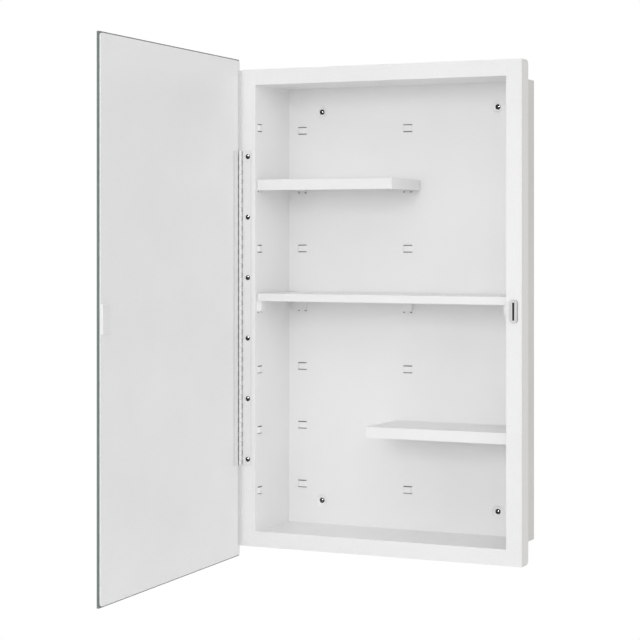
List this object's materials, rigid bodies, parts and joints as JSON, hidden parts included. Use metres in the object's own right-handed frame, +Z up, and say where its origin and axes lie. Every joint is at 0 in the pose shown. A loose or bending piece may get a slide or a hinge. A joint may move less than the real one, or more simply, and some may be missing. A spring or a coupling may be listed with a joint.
{
  "type": "medicine cabinet",
  "caption": "Recessed steel medicine cabinet with a frameless mirror door on a continuous hinge, a magnetic catch, and lift-off shelves on clips at several heights.",
  "frame": {"origin": "centre of the rectangle of wall screw holes, on the plane where the dished screw seats meet the wall", "axes": "+X to the right as seen from the room, +Y into the wall, +Z up"},
  "size_m": [0.5085, 0.6333, 0.835],
  "materials": {
    "white_steel": "fine powder coat",
    "shelf_steel": "fine powder coat",
    "clip_steel": "powder coat",
    "hinge_steel": "powder coat",
    "pin_steel": "plain",
    "rivet_metal": "polished",
    "catch_plating": "polished",
    "magnet": "matt",
    "strike_steel": "gloss",
    "mirror_glass": "silvered",
    "backing_film": "matt",
    "foam": "matt"
  },
  "bodies": {
    "cabinet": {"side_left": "white_steel", "side_right": "white_steel", "top_channel": "white_steel", "bottom_channel": "white_steel", "back_panel": "white_steel", "slot_seals_back": "foam", "slot_seals_side": "foam", "hinge_leaf_frame": "hinge_steel", "hinge_pin": "pin_steel", "hinge_rivets": "rivet_metal", "catch_housing": "catch_plating", "catch_pole_plates": "catch_plating", "catch_magnet": "magnet", "clips_upper": "clip_steel", "clips_middle": "clip_steel", "clips_lower": "clip_steel"},
    "door": {"door_pan": "white_steel", "mirror_glass": "mirror_glass", "mirror_backing": "backing_film", "mirror_tape": "foam", "hinge_leaf_door": "hinge_steel", "strike_plate": "strike_steel"},
    "shelf_upper": {"shelf_upper": "shelf_steel"},
    "shelf_middle": {"shelf_middle": "shelf_steel"},
    "shelf_lower": {"shelf_lower": "shelf_steel"}
  },
  "joints": [
    {"name": "door_hinge", "type": "hinge", "parent": "cabinet", "child": "door", "pos_m": [-0.25015, -0.1337, 0], "axis": [0, 0, -1], "range_deg": [-85.4, 29.6]},
    {"name": "shelf_upper_lift", "type": "slide", "parent": "cabinet", "child": "shelf_upper", "axis": [0, 0, 1], "range_m": [0, 0.04]},
    {"name": "shelf_middle_lift", "type": "slide", "parent": "cabinet", "child": "shelf_middle", "axis": [0, 0, 1], "range_m": [0, 0.04]},
    {"name": "shelf_lower_lift", "type": "slide", "parent": "cabinet", "child": "shelf_lower", "axis": [0, 0, 1], "range_m": [0, 0.04]}
  ]
}
